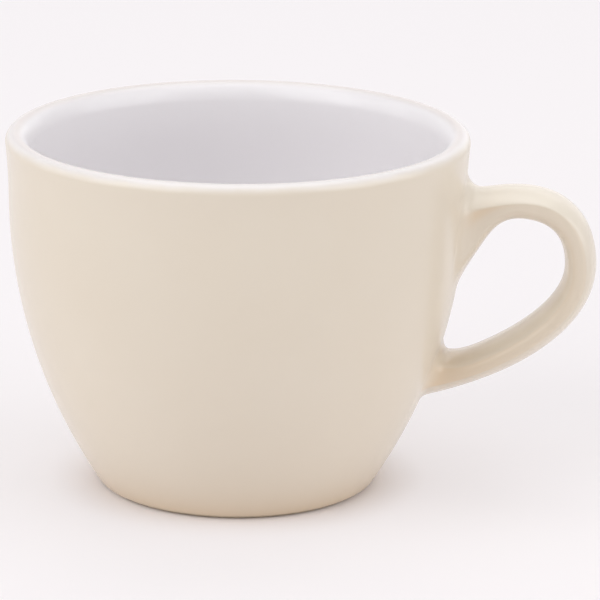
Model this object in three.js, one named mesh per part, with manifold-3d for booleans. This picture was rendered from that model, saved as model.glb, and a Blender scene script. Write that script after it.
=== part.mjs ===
// Espresso cup, built up as a potter makes it: a cast clay cup, a cast loop handle luted on with slip,
// a white glaze inside and over the lip, and a cream glaze outside and under the base.
// Millimetres, +Z up. The foot stands on Z = 0 and the handle points along +X. The origin lies on the
// table under the middle of the whole length, handle included.

import * as THREE from 'three';
import { mergeVertices, toCreasedNormals } from 'three/addons/utils/BufferGeometryUtils.js';
import Module from 'manifold-3d';

// Bowl, finished and glazed
const rimRadius = 33.2; // outside of the lip at its widest
const cupHeight = 52; // table to the crest of the lip
const neckDrop = 9; // crest down to the neck, where the side begins to curve in
const lipFlare = 0.4; // how far the lip leans out over the neck
const footRadius = 19.7; // where the curve of the side would meet the table
const wallThickness = 2.8; // clay with both glazes, rolled to a full round at the lip
const floorThickness = 3.4; // hollow under the base up to the floor of the bowl
const bowlCorner = 8; // radius between floor and wall inside

// Foot ring of bare clay
const ringWidth = 2.2; // flat that the cup stands on, between its rounded edges
const ringEdge = 0.35; // rounding of the ring's two edges
const footHollow = 2.2; // depth of the hollow inside the ring
const hollowCorner = 1.2; // radius between the ring and the underside of the base

// Handle strap, finished and glazed
const handleStandout = 18.35; // outside of the rim to the outermost point of the loop
const strapWidth = 9.4;
const strapThickness = 4.5;
const upperRootDrop = 10.6; // crest of the lip down to the strap's middle at the wall
const loopDrop = 8; // from there down to the outermost point
const lowerRootHeight = 16; // table up to the strap's middle at the wall
const upperArmRise = 16.7; // degrees that the upper arm rises as it leaves the wall
const lowerArmRise = 14; // the same for the lower arm
const outerCrown = 1.8; // how far the outer face rises over its edges
const innerCrown = 1; // the same for the inner face
const outerEdge = 0.6; // rounding of the outer face's edges
const innerEdge = 1.1; // rounding of the inner face's edges
const loopSwell = 0.2; // added to the outer face half-way down the lower arm

// How far each arm keeps its direction, as a share of its run
const upperArmFullness = 0.8;
const upperLoopFullness = 0.76;
const lowerLoopFullness = 0.53;
const lowerArmFullness = 0.33;

// Flared ends of the handle
const upperWeb = 6.5; // added under the upper arm, down the wall
const lowerWeb = 2.4; // added over the lower arm, up the wall
const webLength = 9; // how far from the wall the webs begin
const rootFillet = 1.3; // added to the sides of both ends and to the top of the upper one
const filletLength = 4.5; // how far from the wall the fillets begin

// Glazes and joints
const glazeThickness = 0.4;
const bondGap = 0.1; // left between neighbouring layers
const slipThickness = 0.6;
const bareFoot = 0.4; // the outer glaze ends this far above the table
const lipMeeting = 30; // degrees up the outside of the lip where the white glaze meets the cream

// Faceting
const turnSegments = 48;
const strapSteps = 24;
const rootCrowding = 0.5; // share by which the strap's steps close up towards its ends
const sideFacet = 5; // degrees of arc
const cornerFacet = 13;
const edgeFacet = 30;
const strapFacet = 45;
const creaseAngle = 35; // edges sharper than this are shaded as edges
const edgeShare = 0.9; // an edge's rounding takes no more of half a side of the strap than this

// Worked-out centres and heights that every layer shares
const glazeDepth = glazeThickness + bondGap; // finished surface down to the clay
const upperRootHeight = cupHeight - upperRootDrop;
const handleReach = rimRadius + handleStandout;
const rootDepth = strapThickness + upperWeb; // deep enough in the wall for its cut to clear the strap's end
const lipRadius = wallThickness / 2;
const lipCentre = new THREE.Vector2(rimRadius - lipRadius, cupHeight - lipRadius);
const sideTop = cupHeight - neckDrop;
const neckRadius = rimRadius - lipFlare;
const neckRise = lipCentre.y - sideTop;
const neckBend = (lipFlare ** 2 + neckRise ** 2) / (2 * lipFlare); // bend of the wall's middle, neck to lip
const neckCentre = new THREE.Vector2(neckRadius - lipRadius + neckBend, sideTop);
const neckTurn = Math.atan2(neckRise, neckBend - lipFlare);
const footInset = neckRadius - footRadius;
const sideRadius = (footInset ** 2 + sideTop ** 2) / (2 * footInset);
const sideCentre = new THREE.Vector2(neckRadius - sideRadius, sideTop);
const floorHeight = footHollow + floorThickness;
const cornerRise = floorHeight + bowlCorner - sideTop;
const cornerReach = sideRadius - wallThickness - bowlCorner;
const cornerCentre = new THREE.Vector2(
  sideCentre.x + Math.sqrt(cornerReach ** 2 - cornerRise ** 2),
  floorHeight + bowlCorner,
);

const wasm = await Module();
wasm.setup();

// Points on an arc about a centre, from one angle to another in radians, with facets of so many degrees
function arc(centre, radius, from, to, facet) {
  const steps = Math.ceil(THREE.MathUtils.radToDeg(Math.abs(to - from)) / facet);
  const points = [];
  for (let i = 0; i <= steps; i += 1) {
    const angle = THREE.MathUtils.lerp(from, to, i / steps);
    points.push(new THREE.Vector2(Math.cos(angle), Math.sin(angle)).multiplyScalar(radius).add(centre));
  }
  return points;
}

// Angle, about the centre of the side's curve, of the point at a height on a curve of that radius
function sideAngle(radius, height) {
  return Math.asin((height - sideTop) / radius);
}

// Angle that the finished outside leans out from upright at a height
function wallLean(height) {
  const bend = height < sideTop ? sideRadius : neckBend - lipRadius;
  return Math.abs(sideAngle(bend, height));
}

// Radius of the finished outside at a height
function outsideRadius(height) {
  const reach = Math.cos(wallLean(height));
  if (height < sideTop) return sideCentre.x + sideRadius * reach;
  return neckCentre.x - (neckBend - lipRadius) * reach;
}

// Direction up along the outside of the wall at a height
function wallDirection(height) {
  const lean = wallLean(height);
  return new THREE.Vector2(Math.sin(lean), Math.cos(lean));
}

// Outside of the bowl, a depth under the finished surface, from a height up to an angle on the lip
function outsideProfile(depth, fromHeight, lipAngle) {
  const radius = sideRadius - depth;
  return [
    ...arc(sideCentre, radius, sideAngle(radius, fromHeight), 0, sideFacet),
    ...arc(neckCentre, neckBend - lipRadius + depth, Math.PI, Math.PI - neckTurn, sideFacet).slice(1),
    ...arc(lipCentre, lipRadius - depth, -neckTurn, 0, edgeFacet).slice(1),
    ...arc(lipCentre, lipRadius - depth, 0, lipAngle, edgeFacet).slice(1),
  ];
}

// Inside of the bowl, a depth under the finished surface, from an angle on the lip down to the axis
function insideProfile(depth, lipAngle) {
  const cornerAngle = Math.atan2(cornerRise, cornerCentre.x - sideCentre.x);
  return [
    ...arc(lipCentre, lipRadius - depth, lipAngle, Math.PI - neckTurn, edgeFacet),
    ...arc(neckCentre, neckBend + lipRadius - depth, Math.PI - neckTurn, Math.PI, sideFacet).slice(1),
    ...arc(sideCentre, sideRadius - wallThickness + depth, 0, cornerAngle, sideFacet).slice(1),
    ...arc(cornerCentre, bowlCorner + depth, cornerAngle, -Math.PI / 2, cornerFacet).slice(1),
    new THREE.Vector2(0, floorHeight - depth),
  ];
}

// Centres of the roundings of the clay foot: the ring's outer and inner edge, and the hollow's corner
const clayRadius = sideRadius - glazeDepth;
const outerEdgeCentre = new THREE.Vector2(
  sideCentre.x + Math.sqrt((clayRadius - ringEdge) ** 2 - (ringEdge - sideTop) ** 2),
  ringEdge,
);
const innerEdgeCentre = new THREE.Vector2(outerEdgeCentre.x - ringWidth, ringEdge);
const hollowRadius = innerEdgeCentre.x - ringEdge;
const hollowRound = Math.min(hollowCorner, footHollow / 2);
const hollowCentre = new THREE.Vector2(hollowRadius - hollowRound, footHollow - hollowRound);

// Hollow inside the foot ring, a depth under the clay, from the axis out to the ring
function hollowProfile(depth) {
  return [
    new THREE.Vector2(0, footHollow - depth),
    ...arc(hollowCentre, hollowRound - depth, Math.PI / 2, 0, edgeFacet),
  ];
}

// Foot ring of the clay, from the hollow's wall round both edges of the flat to the side
function ringProfile() {
  const sideEnd = Math.atan2(ringEdge - sideTop, outerEdgeCentre.x - sideCentre.x);
  return [
    ...arc(innerEdgeCentre, ringEdge, -Math.PI, -Math.PI / 2, edgeFacet),
    ...arc(outerEdgeCentre, ringEdge, -Math.PI / 2, sideEnd, edgeFacet),
  ];
}

// A profile of (radius, height) points turned about the axis
function turned(profile) {
  const geometry = new THREE.LatheGeometry(profile, turnSegments);
  return geometry.rotateX(Math.PI / 2);
}

// Centre curve of the strap in the plane of the handle, as (distance from the axis, height)
function strapCurve() {
  const upperRise = THREE.MathUtils.degToRad(upperArmRise);
  const lowerRise = THREE.MathUtils.degToRad(lowerArmRise);
  const upperOutwards = new THREE.Vector2(Math.cos(upperRise), Math.sin(upperRise));
  const lowerOutwards = new THREE.Vector2(Math.cos(lowerRise), Math.sin(lowerRise));
  const upperEnd = new THREE.Vector2(outsideRadius(upperRootHeight), upperRootHeight);
  const lowerEnd = new THREE.Vector2(outsideRadius(lowerRootHeight), lowerRootHeight);
  const outermost = new THREE.Vector2(handleReach - strapThickness / 2, upperRootHeight - loopDrop);
  const upperRun = outermost.x - upperEnd.x;
  const lowerRun = outermost.x - lowerEnd.x;
  const lowerDrop = outermost.y - lowerEnd.y;
  const curve = new THREE.CurvePath();
  curve.add(new THREE.CubicBezierCurve(
    upperEnd,
    upperEnd.clone().addScaledVector(upperOutwards, upperArmFullness * upperRun),
    new THREE.Vector2(outermost.x, outermost.y + upperLoopFullness * loopDrop),
    outermost,
  ));
  curve.add(new THREE.CubicBezierCurve(
    outermost,
    new THREE.Vector2(outermost.x, outermost.y - lowerLoopFullness * lowerDrop),
    lowerEnd.clone().addScaledVector(lowerOutwards, lowerArmFullness * lowerRun),
    lowerEnd,
  ));
  return curve;
}

// Share of a flare that is left at a distance from the wall, 1 at the wall and 0 past its length
function flareShare(distance, length) {
  return (1 - THREE.MathUtils.clamp(distance / length, 0, 1)) ** 3;
}

// What the strap's outer face gains at a distance along it
function swellAt(curve, distance) {
  const upperLength = curve.curves[0].getLength();
  const lowerLength = curve.getLength() - upperLength;
  const share = THREE.MathUtils.clamp((distance - upperLength) / lowerLength, 0, 1);
  return loopSwell * Math.sin(Math.PI * share) ** 2;
}

// Points round the strap's section as (width, height), from the middle of one side over the outer face:
// flat sides, crowned faces and rounded edges, a depth under the finished surface
function sectionPoints(halfWidth, halfHeight, depth) {
  // One face with its two edges, begun half-way up a side
  const faceWith = (crown, edge) => {
    const drop = (wide) => crown * (wide / (strapWidth / 2)) ** 2;
    const straight = halfHeight - drop(halfWidth);
    const radius = Math.min(edge - depth, straight * edgeShare);
    const centre = new THREE.Vector2(halfWidth - radius, straight - radius);
    const rounded = arc(centre, radius, 0, Math.PI / 2, strapFacet);
    const quarter = [...rounded, new THREE.Vector2(centre.x / 2, straight)];
    const mirrored = quarter.map((point) => new THREE.Vector2(-point.x, point.y)).reverse();
    const face = [new THREE.Vector2(halfWidth, 0), ...quarter, new THREE.Vector2(0, straight), ...mirrored];
    for (const point of face) point.y *= 1 + (drop(halfWidth) - drop(point.x)) / straight;
    return face;
  };
  const outerFace = faceWith(outerCrown, outerEdge);
  const innerFace = faceWith(innerCrown, innerEdge);
  return [...outerFace, ...innerFace.map((point) => point.negate())];
}

// Ring of points round the strap at a distance along its curve, a depth under the finished surface.
// Near the wall the ring leans over to lie along it, and both ends run straight on into the wall.
function strapRing(curve, distance, depth) {
  const length = curve.getLength();
  const along = THREE.MathUtils.clamp(distance, 0, length);
  const forward = curve.getTangent(along / length);
  const middle = curve.getPoint(along / length).addScaledVector(forward, distance - along);
  const square = new THREE.Vector2(-forward.y, forward.x);
  const upperShare = flareShare(distance, webLength);
  const lowerShare = flareShare(length - distance, webLength);
  const upperFillet = rootFillet * flareShare(distance, filletLength);
  const lowerFillet = rootFillet * flareShare(length - distance, filletLength);
  const across = square.clone()
    .lerp(wallDirection(upperRootHeight), upperShare)
    .lerp(wallDirection(lowerRootHeight).negate(), lowerShare)
    .normalize();
  const half = (strapThickness / 2 - depth) / across.dot(square);
  const outer = half + upperFillet + swellAt(curve, distance);
  const inner = half + upperShare * upperWeb + lowerShare * lowerWeb;
  const halfWidth = strapWidth / 2 - depth + upperFillet + lowerFillet;
  return sectionPoints(halfWidth, (outer + inner) / 2, depth).map((point) => {
    const place = middle.clone().addScaledVector(across, (outer - inner) / 2 + point.y);
    return new THREE.Vector3(place.x, point.x, place.y);
  });
}

// A closed skin through rings of equal count, capped flat at both ends
function lofted(rings) {
  const sides = rings[0].length;
  const points = rings.flat();
  const indices = [];
  for (let r = 0; r + 1 < rings.length; r += 1) {
    for (let i = 0; i < sides; i += 1) {
      const a = r * sides + i;
      const b = r * sides + ((i + 1) % sides);
      indices.push(a, b, a + sides, b, b + sides, a + sides);
    }
  }
  const lastRing = (rings.length - 1) * sides;
  for (let i = 1; i + 1 < sides; i += 1) {
    indices.push(0, i + 1, i, lastRing, lastRing + i, lastRing + i + 1);
  }
  const geometry = new THREE.BufferGeometry().setFromPoints(points);
  geometry.setIndex(indices);
  return geometry;
}

// Distances along the strap at which it has a ring, closer together near the wall and running into it
function strapStations(length) {
  const stations = [-rootDepth];
  for (let i = 0; i <= strapSteps; i += 1) {
    const even = i / strapSteps;
    const crowded = (1 - Math.cos(Math.PI * even)) / 2;
    stations.push(length * THREE.MathUtils.lerp(even, crowded, rootCrowding));
  }
  return [...stations, length + rootDepth];
}

// The strap, a depth under the finished surface, whole or only its upper or lower half
function strap(depth, half = 'whole') {
  const curve = strapCurve();
  const length = curve.getLength();
  const wanted = {
    whole: () => true,
    upper: (distance) => distance < length / 2,
    lower: (distance) => distance > length / 2,
  };
  const stations = strapStations(length).filter(wanted[half]);
  return lofted(stations.map((distance) => strapRing(curve, distance, depth)));
}

// A solid for joining and cutting, from a closed geometry
function solid(geometry) {
  const bare = new THREE.BufferGeometry();
  bare.setAttribute('position', geometry.getAttribute('position'));
  bare.setIndex(geometry.getIndex());
  const merged = mergeVertices(bare);
  const index = merged.getIndex().array;
  const triangles = [];
  for (let i = 0; i < index.length; i += 3) {
    const [a, b, c] = index.slice(i, i + 3);
    if (a !== b && b !== c && c !== a) triangles.push(a, b, c);
  }
  return new wasm.Manifold(new wasm.Mesh({
    numProp: 3,
    vertProperties: new Float32Array(merged.getAttribute('position').array),
    triVerts: new Uint32Array(triangles),
  }));
}

// A named mesh of a solid, with its edges kept crisp
function piece(name, body, material) {
  const mesh = body.getMesh();
  const geometry = new THREE.BufferGeometry();
  geometry.setAttribute('position', new THREE.BufferAttribute(mesh.vertProperties, 3));
  geometry.setIndex(new THREE.BufferAttribute(mesh.triVerts, 1));
  const part = new THREE.Mesh(toCreasedNormals(geometry, THREE.MathUtils.degToRad(creaseAngle)), material);
  part.name = name;
  return part;
}

const clay = new THREE.MeshStandardMaterial({ color: 0xd9cbb4, roughness: 0.85, metalness: 0 });
const slip = new THREE.MeshStandardMaterial({ color: 0xcdbfa8, roughness: 0.9, metalness: 0 });
const creamGlaze = new THREE.MeshStandardMaterial({ color: 0xe2d6c6, roughness: 0.2, metalness: 0 });
const whiteGlaze = new THREE.MeshStandardMaterial({ color: 0xf1eeec, roughness: 0.18, metalness: 0 });

const meetingAngle = THREE.MathUtils.degToRad(lipMeeting);

// Clay cup: underside, foot ring, outside, lip and inside in one turned profile
function cupBody() {
  const outside = outsideProfile(glazeDepth, ringEdge, Math.PI / 2);
  const profile = [
    ...hollowProfile(0),
    ...ringProfile(),
    ...outside.slice(1),
    ...insideProfile(glazeDepth, Math.PI / 2).slice(1),
  ];
  return solid(turned(profile));
}

// White coat: its clay side from the axis up to the lip, then its finished side back down
function innerGlaze() {
  const claySide = insideProfile(glazeThickness, meetingAngle).reverse();
  return solid(turned([...claySide, ...insideProfile(0, meetingAngle)]));
}

// Everything within the outside of the bowl, taken a depth under the finished surface
function filledBowl(depth) {
  const outside = outsideProfile(depth, 0, Math.PI / 2);
  const bottom = new THREE.Vector2(0, outside[0].y);
  const top = new THREE.Vector2(0, outside[outside.length - 1].y);
  return solid(turned([bottom, ...outside, top]));
}

// Cream coat: a turned shell on the wall and a tube round the strap, open to each other at the roots
function outerGlaze() {
  const creamAngle = meetingAngle - bondGap / lipRadius;
  const finishedSide = outsideProfile(0, bareFoot, creamAngle);
  const claySide = outsideProfile(glazeThickness, bareFoot, creamAngle).reverse();
  const wallCoat = solid(turned([...finishedSide, ...claySide, finishedSide[0]]));
  const strapCoat = solid(strap(0)).subtract(filledBowl(glazeThickness / 2));
  return wallCoat.add(strapCoat).subtract(solid(strap(glazeThickness)));
}

// Coat in the hollow under the base
function baseGlaze() {
  const claySide = hollowProfile(bondGap).reverse();
  return solid(turned([...hollowProfile(glazeDepth), ...claySide]));
}

// Layers at the joints, as heights over the finished wall: slip from its clay, then the handle's end
const slipStart = bondGap - glazeDepth;
const slipEnd = slipStart + slipThickness;

// Clay handle, cut at both ends to the curve of the wall
function handle() {
  return solid(strap(glazeDepth)).subtract(filledBowl(-slipEnd - bondGap));
}

// Slip between the wall and the upper or lower end of the handle
function jointSlip(end) {
  return solid(strap(glazeDepth, end)).intersect(filledBowl(-slipEnd)).subtract(filledBowl(-slipStart));
}

const cup = new THREE.Group();
cup.position.x = (rimRadius - handleReach) / 2;
cup.add(piece('cup_body', cupBody(), clay));
cup.add(piece('handle', handle(), clay));
cup.add(piece('upper_joint_slip', jointSlip('upper'), slip));
cup.add(piece('lower_joint_slip', jointSlip('lower'), slip));
cup.add(piece('inner_glaze', innerGlaze(), whiteGlaze));
cup.add(piece('outer_glaze', outerGlaze(), creamGlaze));
cup.add(piece('base_glaze', baseGlaze(), creamGlaze));

const espressoCup = new THREE.Group();
espressoCup.add(cup);

export default espressoCup;
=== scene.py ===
"""Espresso cup: cream glaze outside, white glaze inside, and a loop handle luted to the wall.

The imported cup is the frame. The cream coat is one skin over wall and handle, with the handle's roots run
out into the wall. The white coat, the coat under the base and the clay cup are turned on the cup's axis.
The handle's clay and the two layers of slip stay as they are, inside the coat.
"""

import math

import bmesh
import bpy
import numpy as np
from mathutils import Matrix, Vector


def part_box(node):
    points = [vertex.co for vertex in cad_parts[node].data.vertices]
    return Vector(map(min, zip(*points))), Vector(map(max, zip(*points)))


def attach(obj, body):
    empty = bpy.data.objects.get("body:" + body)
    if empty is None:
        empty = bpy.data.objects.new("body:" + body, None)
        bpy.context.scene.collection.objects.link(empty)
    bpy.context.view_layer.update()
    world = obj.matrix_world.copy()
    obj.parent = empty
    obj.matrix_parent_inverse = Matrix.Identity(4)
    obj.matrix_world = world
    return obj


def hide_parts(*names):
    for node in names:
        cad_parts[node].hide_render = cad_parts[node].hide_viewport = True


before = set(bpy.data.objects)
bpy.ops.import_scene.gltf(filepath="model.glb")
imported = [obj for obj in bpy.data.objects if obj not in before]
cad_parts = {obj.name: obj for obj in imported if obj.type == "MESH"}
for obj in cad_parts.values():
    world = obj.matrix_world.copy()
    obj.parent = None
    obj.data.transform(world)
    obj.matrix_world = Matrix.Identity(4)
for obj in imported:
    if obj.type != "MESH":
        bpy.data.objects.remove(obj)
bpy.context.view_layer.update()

MM = 0.001

# Place and main sizes, from the frame
coat_low, coat_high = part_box("outer_glaze")
RIM_RADIUS = (coat_high.y - coat_low.y) / 2
CUP_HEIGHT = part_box("inner_glaze")[1].z
AXIS_X = coat_low.x + RIM_RADIUS

# Bowl, finished and glazed
NECK_DROP = 9 * MM  # crest of the lip down to the neck, where the side begins to curve in
LIP_FLARE = 0.4 * MM  # how far the lip leans out over the neck
FOOT_RADIUS = 19.7 * MM  # where the curve of the side would meet the table
WALL_THICKNESS = 2.8 * MM
INNER_LIP_DROP = 2.8 * MM  # crest of the lip down to where its inside is fullest
LIP_FULLNESS = 0.55 * MM  # added to the wall there, on its inside
FULLNESS_DROP = 14 * MM  # crest of the lip down to where nothing of it is left
FLOOR_THICKNESS = 3.4 * MM
BOWL_CORNER = 8 * MM  # radius between floor and wall inside

# Foot ring of bare clay
RING_WIDTH = 2.2 * MM  # of the flat that the cup stands on
RING_EDGE = 0.35 * MM  # rounding to either side of it
FOOT_HOLLOW = 2.2 * MM  # table up to the clay under the base
HOLLOW_CORNER = 1.1 * MM

# Handle strap
HANDLE_STANDOUT = 18.35 * MM  # rim out to the outermost point of the loop
STRAP_WIDTH = 9.4 * MM
STRAP_THICKNESS = 4.5 * MM
UPPER_ROOT_DROP = 10.6 * MM  # crest of the lip down to the middle of the strap's upper end
LOOP_DROP = 8 * MM  # from there down to the loop's outermost point
LOWER_ROOT_HEIGHT = 16 * MM
UPPER_ARM_RISE = 16.7  # degrees that each arm climbs where it leaves the wall
LOWER_ARM_RISE = 14
UPPER_ARM_FULLNESS = 0.8  # how far each stretch of the line keeps its direction, as a share of its run
UPPER_LOOP_FULLNESS = 0.76
LOWER_LOOP_FULLNESS = 0.53
LOWER_ARM_FULLNESS = 0.33
OUTER_CROWN = 1.7 * MM  # rise of the strap's outer face over its edges, at both roots
LOOP_CROWN = 1.2 * MM  # the same round the loop
TO_LOOP = (3 * MM, 13 * MM)  # along the strap, where the crown changes
FROM_LOOP = (24 * MM, 34 * MM)
INNER_CROWN = 1 * MM
OUTER_EDGE = 0.2 * MM  # rounding of the outer face's edges, on the upper arm
LOOP_EDGE = 0.8 * MM  # the same past it
EDGE_CHANGE = (12 * MM, 20 * MM)  # along the strap, where the rounding changes
INNER_EDGE = 1.1 * MM
EDGE_SHARE = 0.9  # an edge's rounding takes no more of half a side of the strap than this
LEAST_EDGE = 0.03 * MM
LOOP_SWELL = 0.2 * MM  # added to the outer face half-way down the lower arm

# Roots of the handle
UPPER_WEB = 6.5 * MM  # added under the upper arm, down the wall
LOWER_WEB = 2.4 * MM  # added over the lower arm, up the wall
WEB_LENGTH = 9 * MM  # length of strap over which both run out
ROOT_FILLET = 1.3 * MM  # added to the sides of both ends and to the top of the upper one
FILLET_LENGTH = 4.5 * MM  # length of strap over which it runs out
BLEND_RISE = 2.4 * MM  # length of strap that is run out into the wall
BLEND_SPREAD = 1.6 * MM  # length of wall that it is run out over
BLEND_FULLNESS = 0.6  # how far the run-out keeps to the strap and to the wall, as a share of its way
CRISP_UNDERSIDE = 0.6  # share of the run-out that is left off under the lower arm
WEB_EASE = 0.8  # share of the run-out that is added under the upper arm's web
CORNER_SPREAD = 15  # degrees round the strap over which a corner of the run-out is rounded
ROUNDING_PASSES = 16  # more of them round it further
HEADING_STEP = 0.1 * MM  # a short way along the strap, to read its direction

# Glazes
COAT_THICKNESS = 0.39 * MM
CLAY_DEPTH = 0.4 * MM  # finished surface down to the clay
BASE_COAT_DEPTH = 0.5 * MM  # clay of the hollow down to the finished coat
BARE_FOOT = 0.4 * MM  # the outer glaze ends this far above the table
COAT_EDGE = 0.25 * MM  # rounding of the outer glaze's lower edge
LIP_MEETING = 30  # degrees up the outside of the lip where the two coats meet
ALL_CREAM = 0  # degrees up the outside of the lip where the cream begins to thin
ALL_WHITE = 82  # degrees over the lip where no cream is left
THINNEST = 97  # degrees over the lip where the white is thinnest and its painted shade deepest, just inside the crest
THIN_SPREAD = 55  # degrees to either side of that over which it is thin and shaded

# Pooled glaze with painted shade, and thin glaze with painted light and shade, as shares of the pooled or
# thin colour
FOOT_POOL = 0.55  # pooled at the foot of the wall
FOOT_POOL_RISE = 3 * MM  # height over which it fades
UPPER_POOL_AND_SHADE = 0.07  # pooled glaze and painted shade on the strap's sides, at its upper and its lower end
LOWER_POOL_AND_SHADE = 0.24
ROOT_POOL_AND_SHADE = 0.33  # pooled glaze and painted warm shade added where the lower arm meets the wall
POOL_AND_SHADE_ROWS = 8  # rows of the strap over which it fades
CORNER_SHADE = 0.4  # painted shade added to the sides of the upper arm in its corner with the wall, where the cup shades it
CORNER_ROWS = 5  # rows of the strap over which it fades
CORNER_ANGLE = 35  # degrees round the strap, from the middle of a side to the deepest of that painted shade
CORNER_REACH = 25  # degrees over which it fades
OUTER_PAINTED_LIGHT = 0.7  # painted light on the outer face of the upper arm, which faces up
INNER_PAINTED_LIGHT = 0.6  # painted light on the inner face of the lower one, which faces up
OUTER_FACE = (0.6, 0.75)  # sines of the angles round the strap between which a side becomes the outer face
INNER_FACE = (0.65, 0.85)  # the same for the inner face

# Fineness of the meshes
TURN_STEPS = 192
SIDE_ROWS = 100
EDGE_ROWS = 4
LIP_ROWS = 14
LIP_INSIDE_POINTS = 24
WINDOW_COLUMNS = 10  # half the width and half the height of the opening that each root takes in the wall
WINDOW_ROWS = 19
RUN_OUT_ROWS = 6  # on the wall, from the opening to where the root lands
FILLET_ROWS = 9  # from there to the strap
STRAP_ROWS = 72
WALL_ROWS = EDGE_ROWS + SIDE_ROWS + 1 + LIP_ROWS
HANDLE_ROWS = 2 * (RUN_OUT_ROWS - 1) + 2 * (FILLET_ROWS + 1) + STRAP_ROWS - 1
CURVE_POINTS = 400
PROFILE_STEP = 0.8 * MM
EDGE_STEP = 0.08 * MM
MERGE_DISTANCE = 0.001 * MM
SHARP_ANGLE = math.radians(38)

# Worked-out centres and heights
LIP_RADIUS = WALL_THICKNESS / 2
LIP_CENTRE = (RIM_RADIUS - LIP_RADIUS, CUP_HEIGHT - LIP_RADIUS)
SIDE_TOP = CUP_HEIGHT - NECK_DROP
NECK_RADIUS = RIM_RADIUS - LIP_FLARE
NECK_RISE = LIP_CENTRE[1] - SIDE_TOP
NECK_BEND = (LIP_FLARE**2 + NECK_RISE**2) / (2 * LIP_FLARE)  # bend of the wall's middle, neck to lip
NECK_CENTRE = (NECK_RADIUS - LIP_RADIUS + NECK_BEND, SIDE_TOP)
NECK_TURN = math.degrees(math.atan2(NECK_RISE, NECK_BEND - LIP_FLARE))
OUTER_BEND = NECK_BEND - LIP_RADIUS
INNER_BEND = NECK_BEND + LIP_RADIUS
FOOT_INSET = NECK_RADIUS - FOOT_RADIUS
SIDE_RADIUS = (FOOT_INSET**2 + SIDE_TOP**2) / (2 * FOOT_INSET)
SIDE_CENTRE = (NECK_RADIUS - SIDE_RADIUS, SIDE_TOP)
FLOOR_HEIGHT = FOOT_HOLLOW + FLOOR_THICKNESS
UPPER_ROOT_HEIGHT = CUP_HEIGHT - UPPER_ROOT_DROP
HANDLE_REACH = RIM_RADIUS + HANDLE_STANDOUT

# Colours, as sRGB of 0 to 255
CREAM = (227, 216, 199)
# pooled cream, also used as painted shade on the handle's shaded sides and roots
CREAM_POOL_AND_SHADE = (225, 196, 158)
# thin cream, for the palest clouds, and also painted light on the handle's upward faces
CREAM_THIN_AND_PAINTED_LIGHT = (232, 224, 211)
WHITE = (240, 237, 239)
# thin white on the lip, darker also as painted shade that tones down the crest's highlight
WHITE_THIN_AND_SHADED = (219, 211, 208)
CLAY = (214, 200, 178)
SLIP = (203, 188, 165)
PAPER = (248, 244, 246)

# Finishes
NOISE_MIDDLE = (0.3, 0.7)  # the range in which most of a noise lies
CLOUD_SIZE = 14 * MM
CLOUD_SHARE = 0.16  # share of thin glaze in the palest clouds
WANDER_SIZE = 3 * MM  # of the uneven line where cream turns white
GLAZE_ROUGHNESS = (0.2, 0.26)
GLAZE_IOR = 1.52
WAVE_SIZE = 9 * MM  # soft waves in the glaze
WAVE_HEIGHT = 0.06 * MM
PEEL_SIZE = 0.7 * MM  # fine peel over them
PEEL_HEIGHT = 0.004 * MM
GRAIN_SIZE = 0.35 * MM  # grain of the bare clay
GRAIN_DETAIL = 4
GRAIN_HEIGHT = 0.05 * MM
DARK_GRAINS = (0.58, 0.72)  # the range of the grain's noise in which it turns dark
DARK_SHADE = 0.72  # colour of the dark grains, as a share of the clay's
GRAIN_SHARE = 0.45
PATCH_SIZE = 6 * MM
PATCH_SHARE = 0.25
CLAY_ROUGHNESS = (0.78, 0.95)
PAPER_ROUGHNESS = 0.9

# Stage and light, in metres and watts
FLOOR_HALF = 3.0  # half the side of the paper
CONTACT_SHADE = 8 * MM  # width of the deeper shade round the foot
OWN_LIGHT = 0.47  # share of its own pale colour that the paper shows past that
ROOM_LEVEL = 0.236  # how strongly the white room lights
LAMP_SIZE = 1.6
LAMPS = {
    "left_front_box": ((-1.1, -1.1, 1.1), 13.6),
    "right_front_box": ((1.1, -1.1, 1.1), 2.6),
    "left_low_box": ((-1.5, -0.3, 0.35), 7.1),
    "right_box": ((1.4, -0.4, 0.9), 4.4),
    "right_low_box": ((1.5, -0.3, 0.35), 8.2),
    "top_box": ((0, 0.1, 1.6), 9.7),
    "top_back_box": ((0, 1.0, 1.4), 4.1),
    "back_low_box": ((0.3, 1.6, 0.6), 2.8),
}

# Camera, found from the photograph's rim, foot line and sides
VIEW_TURN = 5  # degrees that the handle is turned towards the camera
CAMERA_DISTANCE = 534.6 * MM  # from the cup's axis, on the level
CAMERA_HEIGHT = 179.9 * MM
CAMERA_YAW = 0.97  # in degrees, as are the next two
CAMERA_PITCH = 15.99
CAMERA_ROLL = 0.54
FOCAL_PIXELS = 3847
IMAGE_PIXELS = 600
SENSOR = 36  # mm


def eased(value, start, end):
    """Share of the way that a value has gone from a start to an end, smooth at both."""
    share = np.clip((np.asarray(value) - start) / (end - start), 0, 1)
    return share**2 * (3 - 2 * share)


def linear(colour):
    """An sRGB colour of 0 to 255 as the linear colour that shaders take."""
    shares = np.array(colour) / 255
    low, high = shares / 12.92, ((shares + 0.055) / 1.055) ** 2.4
    return (*np.where(shares < 0.04045, low, high).tolist(), 1)


# Profiles of the turned pieces, as (radius, height)


def arc(centre, radius, start, end, step=PROFILE_STEP):
    """Points on an arc between two angles in degrees, no further apart than the step."""
    count = max(3, math.ceil(radius * math.radians(abs(end - start)) / step) + 1)
    angles = np.radians(np.linspace(start, end, count))
    return [(centre[0] + radius * math.cos(a), centre[1] + radius * math.sin(a)) for a in angles]


def corner_centre():
    """Centre of the rounding between the floor and the wall of the bowl."""
    rise = FLOOR_HEIGHT + BOWL_CORNER - SIDE_TOP
    reach = SIDE_RADIUS - WALL_THICKNESS - BOWL_CORNER
    return SIDE_CENTRE[0] + math.sqrt(reach**2 - rise**2), FLOOR_HEIGHT + BOWL_CORNER


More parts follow.
